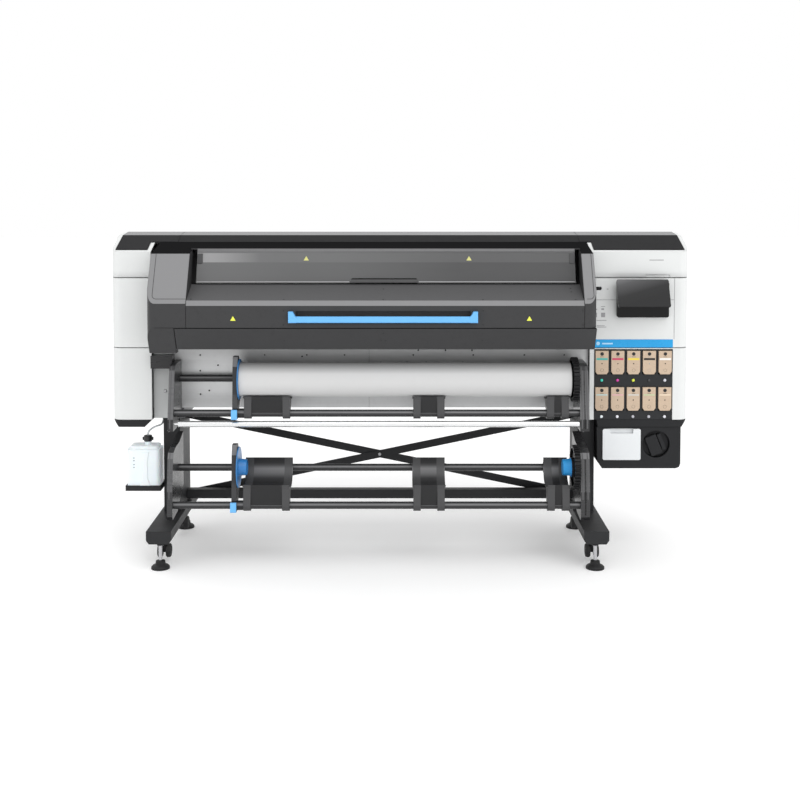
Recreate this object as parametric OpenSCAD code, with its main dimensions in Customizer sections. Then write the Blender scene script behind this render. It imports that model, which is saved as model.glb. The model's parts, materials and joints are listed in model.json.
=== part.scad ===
// Wide-format roll-to-roll printer on a stand. Millimetres, +Z up, front at -Y.
// Origin: centre of the bounding box's underside.

/* [Overall] */
// Overall width
total_w = 2583; // [2520:1:2800]
// Overall depth
total_d = 852; // [840:1:960]
// Overall height
total_h = 1437; // [1427:1:1500]

/* [Stand] */
// Distance between the two base beams' centres
stand_span = 1880; // [1840:1:1900]
// Base beam width
beam_w = 108; // [90:1:120]
// Base beam height
beam_h = 56; // [45:1:64]
// Pillar width
pillar_w = 74; // [60:1:90]
// Pillar depth
pillar_d = 254; // [200:1:260]
// Brace strip width
brace_w = 35; // [25:1:50]
// Levelling pad radius
pad_r = 40; // [30:1:46]
// Caster wheel radius
wheel_r = 30; // [24:1:32]

/* [Side modules] */
// Left module width
left_w = 180; // [150:1:182]
// Right module width
right_w = 443; // [430:1:460]
// Vertical corner radius
corner_r = 45; // [15:1:60]
// Cover wall
wall = 4; // [3:0.5:6]
// Seam between covers
seam = 3; // [2:0.5:5]
// Black base tray height
tray_h = 33; // [25:1:45]

/* [Hood] */
// Hood side frame width, left
frame_left_w = 171; // [120:1:190]
// Hood side frame width, right
frame_right_w = 55; // [45:1:70]
// Skin thickness
skin = 6; // [4:0.5:8]
// Window sheet thickness
glass_t = 5; // [3:0.5:8]
// Handle bar length
handle_l = 808; // [500:1:1200]

/* [Ink] */
// Cartridge width
cart_w = 58; // [50:1:60]
// Cartridge height
cart_h = 105; // [90:1:108]
// Cartridge depth
cart_d = 232; // [180:1:240]
// Distance between cartridges
cart_pitch = 70.7; // [68:0.1:72]

/* [Reels] */
// Reel tube radius
tube_r = 16; // [12:0.5:18]
// Media roll radius
roll_r = 75; // [60:1:79]
// Media roll length
roll_l = 1445; // [1300:1:1446]
// Core bore radius
core_r = 38.1; // [30:0.1:40]
// Drive disc radius over the teeth
disc_r = 97; // [92:0.5:97]
// Drive disc teeth
disc_teeth = 36; // [24:2:48]
// Blue flange radius
flange_r = 89; // [86:1:92]

/* [Screen] */
// Touch screen width
screen_w = 230; // [180:1:235]
// Touch screen length
screen_l = 132; // [110:1:140]
// Touch screen thickness
screen_t = 16; // [12:1:22]

/* [Fits] */
// Radial clearance of running fits
fit = 0.08; // [0.04:0.01:0.1]
// Clearance round sliding boxes
slide_gap = 1; // [0.6:0.1:1.5]

/* [Hidden] */
$fa = 4;
$fs = 1.2;

eps = 0.01;
big = 4000;

// Outer faces
x_left = -total_w / 2;
x_right = total_w / 2;
y_front = -total_d / 2;
y_back = total_d / 2;

// Side modules
module_y = y_front + 260;
left_in = x_left + left_w;
right_in = x_right - right_w;
lid_rise = 4;
lid_t = 9;
lid_line = [[module_y - 1, total_h - 75], [module_y + 166, total_h - 11], [module_y + 276, total_h],
  [y_back + 1, total_h - 21]];
roof = [for (p = lid_line) p - [0, lid_rise]];
top_front = roof[0][1];
z_band = total_h - 193;
z_mid = z_band - 317;
z_low = z_mid - 323;
z_tray = z_low - tray_h;

// Stand
stand_cx = -96;
beam_xs = [stand_cx - stand_span / 2, stand_cx + stand_span / 2];
beam_z = 116;
beam_top = beam_z + beam_h;
beam_l = 700;
beam_wall = 5;
pillar_y = y_front + 320;
pillar_back = pillar_y + pillar_d;
pillar_wall = 4;
foot_ys = [y_front + pad_r, y_front + 656];
caster_ys = [y_front + 122, y_front + 556];
caster_trail = 12;
caster_pin_r = 6;
axle_r = 4;
axle_z = wheel_r + 20;
wheel_w = 20;
fork_h = 8;

// Chassis between the modules
plate_t = 8;
chassis_l = left_in;
chassis_r = right_in;
plate_y = y_front + 294;
chassis_z = z_low + 49;
sheet_t = 4;
platen_z = z_band - 244;
rail_y = 44;
rail_z = z_band - 144;
rail_h = 80;
carriage_z = platen_z + 22;
carriage_h = 160;
roller_r = 20;
roller_y = 22;
shaft_r = 8;

// Hood, as points (y, z) along its outer profile
hinge_y = module_y + 94;
hinge_z = total_h - 40;
hood_l = left_in + 25;
hood_r = right_in - 5;
nose_y = y_front + 26;
nose_z1 = z_band - 198;
nose_z2 = nose_z1 + 95;
chamfer_y = nose_y + 8;
chamfer_z = nose_z2 + 22;
slope_y = -262;
slope_z = z_band - 20;
brow_y = -215;
brow_z = total_h - 60;
side_slope_y = -283;
side_slope_z = total_h - 80;
chin_y = -343;
chin_z = nose_z1 - 94;
band_l = hood_l + frame_left_w;
band_r = hood_r - frame_right_w;
fascia_l = hood_l + 121;
gap = 1.2;
nose_r = 36;
handle_end = 34;
jaw_z = chin_z - 24;

// Right front
bay_cx = x_right - 246.5;
bay_half = 2 * cart_pitch + cart_w / 2 + slide_gap + 4;
bay_l = bay_cx - bay_half;
bay_r = bay_cx + bay_half;
bay_d = cart_d + 30;
header = 5;
row_zs = [z_low + 206, z_low + 42];
cart_y = module_y - 6;
button_x = right_in + 37.5;
button_z = z_band - 49;
button_r = 6;
button_half = 8;
screen_cx = bay_cx + 27;
screen_top = [module_y - 50, z_band - 4];
screen_dir = [-0.447, -0.894];
screen_nrm = [0.894, -0.447];
screen_r = 9;
knuckle_r = 9;
knuckle_w = 40;
pin_r = 5;
service_l = beam_xs[1] + pillar_w / 2 + 2;
service_r = x_right - 30;
service_z = z_tray - 189;
drawer_l = service_l + 27;
drawer_w = 171;
drawer_z = service_z + 39;
drawer_h = 141;
drawer_d = 190;
rotor_x = x_right - 140;
rotor_z = service_z + 110;
rotor_r = 60;

// Reel units, as (y, z)
arm_l0 = beam_xs[0] + 28;
arm_l1 = beam_xs[0] + 52;
arm_r0 = beam_xs[1] - 62;
arm_r1 = beam_xs[1] - 22;
supply = [y_front + 150, chin_z - 147];
takeup = [y_front + 106, 426];
supply_tubes = [supply + [-30, -144], supply + [114, -14]];
takeup_tubes = [takeup + [-30, -160], takeup + [114, -28]];
tension = [supply[0] - 50, supply[1] - 188];
tension_r = 14;
roll_x1 = arm_r0 - 37;
roll_x0 = roll_x1 - roll_l;
flange_x = roll_x0 - 1;
hub_t = 22;
hub_x = flange_x - 7 - hub_t;
core_t = 4;
disc_x = roll_x1 + 7;
disc_t = 26;
spindle_r = 10;
cradle_gap = 7;
cradle_in = roll_r + cradle_gap;
cradle_out = cradle_in + 4;
clamp_r = 24;
clamp_w = 32;

// Waste bottle and its thin tube
bottle_w = 148;
bottle_x = beam_xs[0] - pillar_w / 2 - bottle_w / 2 - 5;
bottle_y = pillar_y - 20;
bottle_z = 289;
bottle_d = 104;
bottle_h = 181;
neck_x = bottle_x + 12;
hose_r = 4;
hose_path = [
  [neck_x, bottle_y, 526],
  [neck_x, bottle_y, 532],
  [neck_x + 2, bottle_y, 538],
  [neck_x + 5, bottle_y, 544],
  [neck_x + 10, bottle_y, 550],
  [neck_x + 18, bottle_y + 1, 556],
  [neck_x + 28, bottle_y + 2, 562],
  [neck_x + 38, bottle_y + 5, 566],
  [neck_x + 47, bottle_y + 10, 568],
  [neck_x + 54, bottle_y + 18, 570],
  [neck_x + 58, bottle_y + 28, 572],
  [neck_x + 60, bottle_y + 38, 576],
  [neck_x + 60, bottle_y + 48, 582],
  [neck_x + 60, bottle_y + 56, 589],
  [neck_x + 60, bottle_y + 61, 596],
  [neck_x + 60, bottle_y + 62, z_low - 2.5],
];

// Bent sheet: offsets an open (y, z) path to its right-hand side
function unit(v) = v / norm(v);
function right_of(a, b) = [unit(b - a)[1], -unit(b - a)[0]];
function corner(p, i) =
  (i > 0 ? right_of(p[i - 1], p[i]) : right_of(p[0], p[1])) +
  (i < len(p) - 1 ? right_of(p[i], p[i + 1]) : right_of(p[i - 1], p[i]));
function inner(p, t) = [for (i = [0:len(p) - 1]) p[i] + corner(p, i) * 2 * t / (corner(p, i) * corner(p,
    i))];
function ring(p, t) = concat(p, [for (i = [len(p) - 1:-1:0]) inner(p, t)[i]]);

module yz(x0, x1, pts) translate([x0, 0, 0]) rotate([90, 0, 90]) linear_extrude(x1 - x0) polygon(pts);
module xz(y0, y1, pts) translate([0, y1, 0]) rotate([90, 0, 0]) linear_extrude(y1 - y0) polygon(pts);
module sheet(x0, x1, path, t) yz(x0, x1, ring(path, t));
module span(x0, x1, y0, y1, z0, z1)
  translate([min(x0, x1), y0, z0]) cube([abs(x1 - x0), y1 - y0, z1 - z0]);
module cyl_x(x0, x1, p, r) translate([x0, p[0], p[1]]) rotate([0, 90, 0]) cylinder(r = r, h = x1 - x0);
module cyl_y(y0, y1, x, z, r) translate([x, y1, z]) rotate([90, 0, 0]) cylinder(r = r, h = y1 - y0);
module cyl_z(x, y, z0, z1, r) translate([x, y, z0]) cylinder(r = r, h = z1 - z0);

// Block with round vertical corners on its outer side xo only
module plan(xo, xi, y0, y1, z0, z1, r) {
  s = sign(xi - xo);
  span(xo + s * r, xi, y0, y1, z0, z1);
  span(xo, xo + s * r + s * eps, y0 + r, y1 - r, z0, z1);
  for (y = [y0 + r, y1 - r]) cyl_z(xo + s * r, y, z0, z1, r);
}

// Block with four round vertical corners
module round_box(x0, x1, y0, y1, z0, z1, r) {
  span(x0 + r, x1 - r, y0, y1, z0, z1);
  span(x0, x1, y0 + r, y1 - r, z0, z1);
  for (x = [x0 + r, x1 - r]) for (y = [y0 + r, y1 - r]) cyl_z(x, y, z0, z1, r);
}

// Block with four round corners seen from the front
module round_y(x0, x1, y0, y1, z0, z1, r) {
  span(x0 + r, x1 - r, y0, y1, z0, z1);
  span(x0, x1, y0, y1, z0 + r, z1 - r);
  for (x = [x0 + r, x1 - r]) for (z = [z0 + r, z1 - r]) cyl_y(y0, y1, x, z, r);
}

// Everything below the modules' roof line lowered by d
module under_roof(z0, d) yz(x_left - 1, x_right + 1,
  concat([[module_y - 1, z0]], [for (p = roof) p - [0, d]], [[y_back + 1, z0]]));

// ---- Stand ----
module base_beams() color("#3a3b3d") for (x = beam_xs) translate([x, 0, 0]) difference() {
  h = beam_w / 2;
  xz(y_front, y_front + beam_l, [[-h, beam_top], [h, beam_top], [h, beam_z + 16], [h - 12, beam_z],
    [12 - h, beam_z], [-h, beam_z + 16]]);
  span(beam_wall - h, h - beam_wall, y_front + beam_wall, y_front + beam_l + 1, beam_z + 18,
      beam_top - beam_wall);
  span(18 - h, h - 18, y_front + beam_wall, y_front + beam_l + 1, beam_z + beam_wall, beam_z + 18 + eps);
  for (y = caster_ys) cyl_z(0, y, beam_z - 1, beam_z + beam_wall + 1, caster_pin_r + fit);
}

module brace(y0, za, zb) {
  xa = beam_xs[0] + pillar_w / 2 + gap / 4;
  xb = beam_xs[1] - pillar_w / 2 - gap / 4;
  h = brace_w * norm([xb - xa, zb - za]) / (xb - xa);
  xz(y0, y0 + 3.8, [[xa, za], [xb, zb], [xb, zb + h], [xa, za + h]]);
}

module stand_frame() color("#37383a") {
  for (x = beam_xs) difference() {
    span(x - pillar_w / 2, x + pillar_w / 2, pillar_y, pillar_back, beam_top, z_low);
    span(x - pillar_w / 2 + pillar_wall, x + pillar_w / 2 - pillar_wall, pillar_y + pillar_wall,
      pillar_back - pillar_wall, beam_top - 1, z_low + 1);
  }
  span(beam_xs[0] + pillar_w / 2, beam_xs[1] - pillar_w / 2, 55, 95, 188, 230);
  brace(112, 180, 555);
  brace(116, 555, 180);
  x0 = bottle_x - bottle_w / 2 - 5;
  x1 = beam_xs[0] - pillar_w / 2;
  y0 = bottle_y - bottle_d / 2 - 5;
  y1 = bottle_y + bottle_d / 2 + 5;
  difference() {
    span(x0, x1, y0, y1, bottle_z - 4, bottle_z + 20);
    span(x0 + 4, x1 - 4, y0 + 4, y1 - 4, bottle_z, bottle_z + 21);
  }
}

module stand_bolts() color("#9a9ca0") {
  xa = beam_xs[0] + pillar_w / 2 + 24;
  xb = beam_xs[1] - pillar_w / 2 - 24;
  for (p = [[xa, 203], [xa, 567], [xb, 203], [xb, 567], [stand_cx, 385]])
    cyl_y(107, 112, p[0], p[1], 7);
  for (x = beam_xs) for (z = [beam_top + 60, z_low - 60])
    cyl_y(pillar_y - 5, pillar_y, x - 12, z, 7);
}

module levelling_feet() color("#1c1c1e") for (x = beam_xs) for (y = foot_ys) translate([x, y, 0]) {
  rotate_extrude() polygon([[0, 0], [pad_r, 0], [pad_r, 8], [pad_r - 6, 14], [pad_r - 18, 20],
    [pad_r - 20, 34], [8, 37], [8, beam_z - 14], [15, beam_z - 14], [15, beam_z], [0, beam_z]]);
}

module caster_fork(x, y) color("#222326") translate([x, y, 0]) {
  cyl_z(0, 0, beam_z - 1, beam_z + beam_wall + 6, caster_pin_r);
  cyl_z(0, 0, 96, beam_z - 0.4, 24);
  yz(-fork_h, fork_h, [[-16, 99], [-12, 84], [caster_trail - 9, axle_z - 6], [caster_trail + 9, axle_z - 6],
    [caster_trail + 7, 84], [22, 99]]);
  cyl_x(-fork_h - wheel_w, fork_h + wheel_w, [caster_trail, axle_z], axle_r);
}

module caster_wheel(x, y) color("#2b2c2e") translate([x, y + caster_trail, axle_z]) rotate([0, 90, 0])
  for (s = [-1, 1]) translate([0, 0, s * (fork_h + 0.5 + wheel_w / 2)]) difference() {
    translate([0, 0, -wheel_w / 2]) rotate_extrude() polygon([[axle_r + fit, 0], [wheel_r - 4, 0],
      [wheel_r, 4], [wheel_r, wheel_w - 4], [wheel_r - 4, wheel_w], [axle_r + fit, wheel_w]]);
    for (a = [0:60:300]) rotate(a) translate([15, 0, -wheel_w]) cylinder(r = 4, h = 2 * wheel_w);
  }

// ---- Chassis and side modules ----
module end_plate(x) difference() {
  union() {
    span(x, x + plate_t, plate_y, y_back - 26, z_low, platen_z + 5);
    span(x, x + plate_t, -75, y_back - 26, z_low, hinge_z - 60);
  }
  span(x - 1, x + plate_t + 1, -76, rail_y + 22, platen_z + 14, rail_z + rail_h + 10);
  cyl_x(x - 1, x + plate_t + 1, [roller_y, platen_z - roller_r], shaft_r + fit);
}

module chassis() color("#8f9295") {
  end_plate(chassis_l - plate_t);
  end_plate(chassis_r);
  span(chassis_l, chassis_r, plate_y + sheet_t, y_back - 26, chassis_z, chassis_z + sheet_t);
  span(chassis_l, chassis_r, y_back - 30, y_back - 26, chassis_z, hinge_z - 80);
  span(chassis_l, chassis_r, plate_y, -4, platen_z - 15, platen_z);
  span(chassis_l - plate_t, beam_xs[0] + 61, plate_y + 6, 200, z_low, chassis_z);
  span(beam_xs[1] - 54, chassis_r + plate_t, plate_y + 6, 200, z_low, chassis_z);
}

module front_plates() color("#b9bbbd") {
  seam_x = stand_cx - 44;
  difference() {
    union() {
      span(chassis_l, seam_x, plate_y, plate_y + sheet_t, chassis_z, chin_z - 2);
      span(seam_x + gap, chassis_r, plate_y, plate_y + sheet_t, chassis_z, chin_z - 2);
    }
    for (x = [-900, -610, -420, -250, 60, 330, 560, 740])
      for (z = [chassis_z + 60, chassis_z + 238]) cyl_y(plate_y - 1, plate_y + sheet_t + 1, x, z, 4);
  }
}

rim = 18;
lid_seam = 909;

module upper_shell(xo, xi) {
  s = sign(xi - xo);
  difference() {
    intersection() {
      plan(xo, xi, module_y, y_back, z_band, total_h, corner_r);
      under_roof(z_band, 0);
    }
    intersection() {
      plan(xo + s * wall, xi + s, module_y + wall, y_back - wall, z_band - 1, total_h, corner_r - wall);
      under_roof(z_band - 1, wall);
    }
    span(xo + s * rim, xi - s * rim, module_y + rim, y_back - rim, top_front - 60, total_h + 1);
    span(xo + s * rim, xi + s, hinge_y + 2, y_back - rim, top_front - 60, total_h + 1);
    yz(min(xo, xi) - 1, max(xo, xi) + 1, [[module_y - 1, z_band - 1], [module_y + 3, z_band - 1],
      [module_y - 1, z_band + 28]]);
  }
}

module upper_shells() color("#e9ebea") {
  upper_shell(x_left, left_in);
  difference() {
    upper_shell(x_right, right_in);
    span(x_right - 196, x_right - 88, module_y - 1, module_y + 3, z_band - 1, z_band + 12);
  }
}

module side_cover(xo, xi, z0, z1) {
  s = sign(xi - xo);
  difference() {
    plan(xo, xi, module_y, y_back, z0, z1, corner_r);
    plan(xo + s * wall, xi + s, module_y + wall, y_back - wall, z0 - 1, z1 + 1, corner_r - wall);
  }
}

module side_covers() color("#e4e6e5") {
  side_cover(x_left, left_in, z_mid + seam, z_band - seam);
  side_cover(x_left, left_in, z_low, z_mid);
  difference() {
    side_cover(x_right, right_in, z_mid + seam, z_band - seam);
    oval(module_y - 1, module_y + wall + 1, button_r + slide_gap);
    span(bay_r + 4, bay_r + 6, module_y - 1, module_y + 1.5, z_mid + 40, z_band);
    span(bay_l, bay_r + 5, module_y - 1, module_y + 1.5, z_mid + 216, z_mid + 218);
  }
  difference() {
    side_cover(x_right, right_in, z_low, z_mid);
    span(bay_l - 0.5, bay_r + 0.5, module_y - 1, module_y + wall + 1, z_low - 1, z_mid - header + 0.5);
  }
}

// Dark lid of a side module; xr is how far it reaches over the centre behind the hood
module side_lid(xo, xi, xr) {
  s = sign(xi - xo);
  intersection() {
    union() {
      span(xo + s * (rim + gap), xi - s * (rim + gap), module_y + rim + gap, y_back - rim - gap,
        top_front - 30, total_h + 9);
      span(xo + s * (rim + gap), xi + s * 2 * gap, hinge_y + 3, y_back - rim - gap, top_front - 30,
          total_h + 9);
      span(xi + s * gap, xr, hinge_y + 3, y_back, top_front - 30, total_h + 9);
    }
    difference() {
      under_roof(top_front - 40, -lid_rise);
      under_roof(top_front - 41, lid_t - lid_rise);
    }
  }
}

module top_covers() color("#3b3b3d") {
  xa = stand_cx - lid_seam;
  xb = stand_cx + lid_seam;
  side_lid(x_left, left_in, xa - gap);
  side_lid(x_right, right_in, xb + gap);
  sheet(xa, xb, [[hinge_y + 3, hinge_z + 1], lid_line[1], lid_line[2], lid_line[3] - [1, 0]], lid_t - 1);
}

// Shallow black tray under a side module; its inner end leans in by slant
module base_tray(xo, xi, slant) {
  s = sign(xi - xo);
  a = xo + s * 2;
  difference() {
    intersection() {
      xz(module_y, y_back, s > 0
        ? [[a, z_low], [a + 26, z_tray], [xi - slant, z_tray], [xi, z_low]]
        : [[xi, z_low], [xi + slant, z_tray], [a - 26, z_tray], [a, z_low]]);
      plan(xo, xi, module_y, y_back, z_tray, z_low, corner_r);
    }
    span(xo + s * 48, xi - s * 44, module_y + 12, y_back - 12, z_tray + 5, z_low + 1);
  }
}

module base_trays() color("#2c2d2f") {
  base_tray(x_left, left_in, 34);
  base_tray(x_right, beam_xs[1] + pillar_w / 2 + gap, 5);
}

module rear_cover() color("#48494b") {
  x0 = chassis_l + gap;
  x1 = chassis_r - gap;
  ix = chassis_r - 140;
  difference() {
    sheet(x0, x1, [[y_back - 26, total_h - 32], [y_back, total_h - 32], [y_back, chassis_z],
      [y_back - 26, chassis_z]], 4);
    span(ix, ix + 60, y_back - 5, y_back + 1, chassis_z + 40, chassis_z + 80);
    for (x = [x0 + 120:26:x0 + 510])
      span(x, x + 12, y_back - 5, y_back + 1, z_mid + 60, z_mid + 190);
  }
  difference() {
    span(ix + gap / 2, ix + 60 - gap / 2, y_back - 26, y_back - 2, chassis_z + 40 + gap / 2,
        chassis_z + 80 - gap / 2);
    span(ix + 8, ix + 52, y_back - 18, y_back - 1, chassis_z + 48, chassis_z + 72);
  }
  for (i = [-1:1]) span(ix + 28 + i * 12, ix + 32 + i * 12, y_back - 18, y_back - 6, chassis_z + 56,
      chassis_z + 66);
}

// ---- Right front ----
module ink_bay() color("#3f4042") {
  difference() {
    span(bay_l, bay_r, module_y + 2, module_y + 2 + bay_d + 6, z_low, z_mid - header);
    for (i = [0:4]) for (z = row_zs)
      span(bay_cx + (i - 2) * cart_pitch - cart_w / 2 - slide_gap,
          bay_cx + (i - 2) * cart_pitch + cart_w / 2 + slide_gap,
        module_y - 1, module_y + 2 + bay_d, z - slide_gap, z + cart_h + slide_gap);
  }
  for (i = [0:4]) for (z = row_zs) cyl_y(module_y, module_y + 2, bay_cx + (i - 2) * cart_pitch, z - 28, 5);
  span(bay_l, bay_r, module_y - 2, module_y, z_mid + seam, z_mid + seam + 36);
}

module cartridge(i) color("#c9ac8c") translate([bay_cx + (i % 5 - 2) * cart_pitch, 0,
    row_zs[floor(i / 5)]]) {
  h = cart_w / 2;
  difference() {
    xz(cart_y, cart_y + cart_d, [[-h, 12], [8 - h, 0], [h - 8, 0], [h, 12], [h, cart_h], [-h, cart_h]]);
    xz(cart_y + 3, cart_y + cart_d - 3, [[3 - h, 13], [11 - h, 3], [h - 11, 3], [h - 3, 13], [h - 3,
        cart_h - 3],
      [3 - h, cart_h - 3]]);
    cyl_y(cart_y - 1, cart_y + 4, 0, cart_h - 13.5, 3.4);
  }
}

function on_screen(s, t) = screen_top + s * screen_dir + t * screen_nrm;
pivot = on_screen(14, screen_t + 11);

module screen_bracket() color("#1d1d1f") {
  front = pivot[0] + 9.3;
  round_y(screen_cx - 106, screen_cx + 125, front, module_y, z_band - 177, z_band - 18, screen_r);
  for (s = [-1, 1]) {
    x = screen_cx + s * (knuckle_w / 2 + 6);
    cyl_x(x - 5, x + 5, pivot, knuckle_r);
    span(x - 5, x + 5, pivot[0], front, pivot[1] - knuckle_r, pivot[1] + knuckle_r);
  }
  cyl_x(screen_cx - knuckle_w / 2 - 6, screen_cx + knuckle_w / 2 + 6, pivot, pin_r);
}

module touch_screen() color("#0c0c0e") difference() {
  union() {
    intersection() {
      yz(screen_cx - screen_w / 2, screen_cx + screen_w / 2, [on_screen(0, 2), on_screen(2, 0),
        on_screen(screen_l - 2, 0), on_screen(screen_l, 2), on_screen(screen_l - 5, screen_t),
        on_screen(5, screen_t)]);
      translate([screen_cx, screen_top[0], screen_top[1]]) rotate([atan2(screen_dir[1], screen_dir[0]),
          0, 0])
        round_box(-screen_w / 2, screen_w / 2, 0, screen_l, -1, screen_t + 1, screen_r);
    }
    cyl_x(screen_cx - knuckle_w / 2, screen_cx + knuckle_w / 2, pivot, knuckle_r);
    yz(screen_cx - knuckle_w / 2, screen_cx + knuckle_w / 2, [on_screen(6, screen_t - 1), on_screen(22,
        screen_t - 1),
      on_screen(22, screen_t + 11), on_screen(6, screen_t + 11)]);
  }
  cyl_x(screen_cx - knuckle_w, screen_cx + knuckle_w, pivot, pin_r + fit);
}

module oval(y0, y1, r) {
  for (s = [-1, 1]) cyl_y(y0, y1, button_x + s * button_half, button_z, r);
  span(button_x - button_half, button_x + button_half, y0, y1, button_z - r, button_z + r);
}

module power_button() color("#161618") {
  oval(module_y - 3, module_y + wall + 6, button_r);
  oval(module_y + wall + 2.5, module_y + wall + 6, button_r + 4);
}

module service_box() color("#2a2b2d") difference() {
  xz(module_y + 6, module_y + 286, [[service_l, z_tray], [service_l + 4, service_z + 34],
      [service_l + 26, service_z],
    [service_r - 22, service_z], [service_r - 6, service_z + 6], [service_r, service_z + 22],
        [service_r, z_tray]]);
  span(drawer_l - slide_gap, drawer_l + drawer_w + slide_gap, module_y, module_y + 20 + drawer_d,
    drawer_z - slide_gap, drawer_z + drawer_h + slide_gap);
  cyl_y(module_y, module_y + 76, rotor_x, rotor_z, rotor_r + slide_gap);
  span(drawer_l + drawer_w + 12, service_r - 10, module_y + 80, module_y + 276, service_z + 12, z_tray - 8);
}

module waste_drawer() color("#eceded") difference() {
  round_y(drawer_l, drawer_l + drawer_w, module_y, module_y + drawer_d, drawer_z, drawer_z + drawer_h, 8);
  span(drawer_l + 4, drawer_l + drawer_w - 4, module_y + 22, module_y + drawer_d - 4, drawer_z + 4,
      drawer_z + drawer_h + 1);
  span(drawer_l + 34, drawer_l + drawer_w - 34, module_y - 1, module_y + 14, drawer_z + drawer_h - 20,
    drawer_z + drawer_h + 1);
}

module rotary_chamber() color("#202123") difference() {
  union() {
    cyl_y(module_y + 26, module_y + 72, rotor_x, rotor_z, rotor_r);
    translate([rotor_x, 0, rotor_z]) rotate([0, -22, 0]) {
      round_y(-38, 14, module_y + 2, module_y + 27, -44, 44, 5);
      round_y(18, 36, module_y + 8, module_y + 27, -38, 38, 4);
    }
  }
  cyl_y(module_y + 36, module_y + 73, rotor_x, rotor_z, rotor_r - 5);
}

// ---- Centre: fascia, hood, window, handle ----
module lower_fascia() color("#464648")
  sheet(fascia_l, hood_r - 1, [[plate_y, chin_z - 6], [chin_y, chin_z - 6], [chin_y, chin_z],
    [nose_y, nose_z1 - 3], [nose_y + 70, nose_z1 - 3]], skin);

// One end of the hood: a skin round the profile path with an end wall, round at its outer front corner
module hood_end(xo, xi, path, low) {
  s = sign(xi - xo);
  last = len(path) - 1;
  inside = inner(path, skin);
  difference() {
    intersection() {
      yz(min(xo, xi), max(xo, xi), concat(low, path, [path[last] - [0, 50], [-110, z_band - 4], [-210,
          nose_z1]]));
      plan(xo, xi, nose_y, hinge_y + nose_r, path[0][1] - 1, total_h, nose_r);
    }
    intersection() {
      yz(min(xo, xi) - 1, max(xo, xi) + 1, concat([[inside[0][0], path[0][1] - 2]], inside,
        [[hinge_y + 2, inside[last][1]], [hinge_y + 2, path[0][1] - 2]]));
      plan(xo + s * skin, xi + s, nose_y + skin, hinge_y + nose_r, path[0][1] - 3, total_h, nose_r - skin);
    }
  }
}

module cheek(x) yz(x, x + skin, [[nose_y, nose_z2], [nose_y, nose_z2 + 9], [side_slope_y, side_slope_z],
  [brow_y + 5, brow_z - 12], [brow_y, brow_z], [brow_y + 16, brow_z - 14], [slope_y + 22, slope_z],
  [chamfer_y + 20, nose_z2 + 6]]);

module hood_frame() color("#4a4a4c") {
  outer = [[nose_y, nose_z1], [nose_y, nose_z2 + 9], [side_slope_y, side_slope_z], [hinge_y - 1, hinge_z]];
  difference() {
    hood_end(hood_l, band_l - gap, concat([[chin_y + 14, jaw_z]], outer), [[-260, jaw_z]]);
    span(fascia_l - 3, band_l, nose_y - 1, -200, jaw_z - 1, nose_z1);
  }
  yz(fascia_l - 3 - skin, fascia_l - 3, [[-290, jaw_z], [chin_y + 14, jaw_z], [nose_y, nose_z1],
      [nose_y + 30, nose_z1 + 20]]);
  hood_end(hood_r, band_r + gap, outer, []);
  cheek(band_l - gap - skin);
  cheek(band_r + gap);
  sheet(band_l - gap - skin, band_r + gap + skin, [[brow_y, brow_z], [hinge_y - 1, hinge_z]], skin);
}

handle_x = (band_l + band_r) / 2 - 8.5;
recess_z0 = nose_z1 + 20;
recess_z1 = nose_z2 - 23;

module hood_band() color("#4a4a4c") {
  x0 = handle_x - handle_l / 2 + 30;
  x1 = handle_x + handle_l / 2 - 30;
  difference() {
    union() {
      sheet(band_l, band_r, [[nose_y + 40, nose_z1], [nose_y, nose_z1], [nose_y, nose_z2], [chamfer_y,
          chamfer_z],
        [slope_y, slope_z - 2], [slope_y + 26, slope_z - 2]], skin);
      span(x0 - 4, x1 + 4, nose_y + 3, nose_y + 24, recess_z0 - 4, recess_z1 + 4);
    }
    span(x0, x1, nose_y - 1, nose_y + 20, recess_z0, recess_z1);
  }
}

module hood_handle() color("#5aa9ea") {
  z0 = recess_z0 + 4;
  yz(handle_x - handle_l / 2, handle_x + handle_l / 2, [[y_front, z0 + 4], [y_front + 4, z0],
      [y_front + 16, z0],
    [y_front + 16, z0 + 27], [y_front + 6, z0 + 27], [y_front, z0 + 21]]);
  for (s = [-1, 1]) translate([handle_x + s * handle_l / 2, 0, 0]) mirror([s < 0 ? 0 : 1, 0,
      0]) difference() {
    span(0, handle_end, y_front + 1, nose_y, z0, z0 + 48);
    xz(y_front, nose_y + 1, [[handle_end - 16, z0 + 49], [handle_end + 1, z0 + 49], [handle_end + 1,
        z0 + 28],
      [handle_end - 4, z0 + 28]]);
  }
}

module hood_window() color("#5a5c5e") {
  x0 = band_l + 22;
  x1 = band_r - 18;
  low = [slope_y - 1, slope_z + 3];
  high = [brow_y - 1, brow_z - 9];
  difference() {
    sheet(x0, x1, [low, high], glass_t);
    for (x = [x0 + 8, x1 - 24]) cyl_y(-400, 0, x + 8, total_h - 97, 4);
  }
  difference() {
    sheet(x0, x1, [low + [-5, 0], low + [-1, 13]], glass_t);
    span(-220, 80, -400, -200, slope_z, slope_z + 10);
  }
}

// ---- Inside ----
module fan_panel() color("#a8aaac") difference() {
  y0 = rail_y + 16;
  span(chassis_l, chassis_r, y0, y0 + 6, rail_z + rail_h, total_h - 15);
  for (i = [0:7]) translate([-720 + i * 190, 0, z_band + 18]) difference() {
    cyl_y(y0 - 1, y0 + 7, 0, 0, 32);
    cyl_y(y0 - 2, y0 + 8, 0, 0, 9);
    for (a = [0, 90]) rotate([0, a, 0]) span(-33, 33, y0 - 2, y0 + 8, -1.5, 1.5);
  }
}

module carriage_rail() color("#9ea1a4") difference() {
  span(chassis_l - plate_t, x_right - 25, rail_y, rail_y + 22, rail_z, rail_z + rail_h);
  span(chassis_l - plate_t - 1, x_right, rail_y - 1, rail_y + 10, rail_z + 30, rail_z + 50);
}

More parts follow.
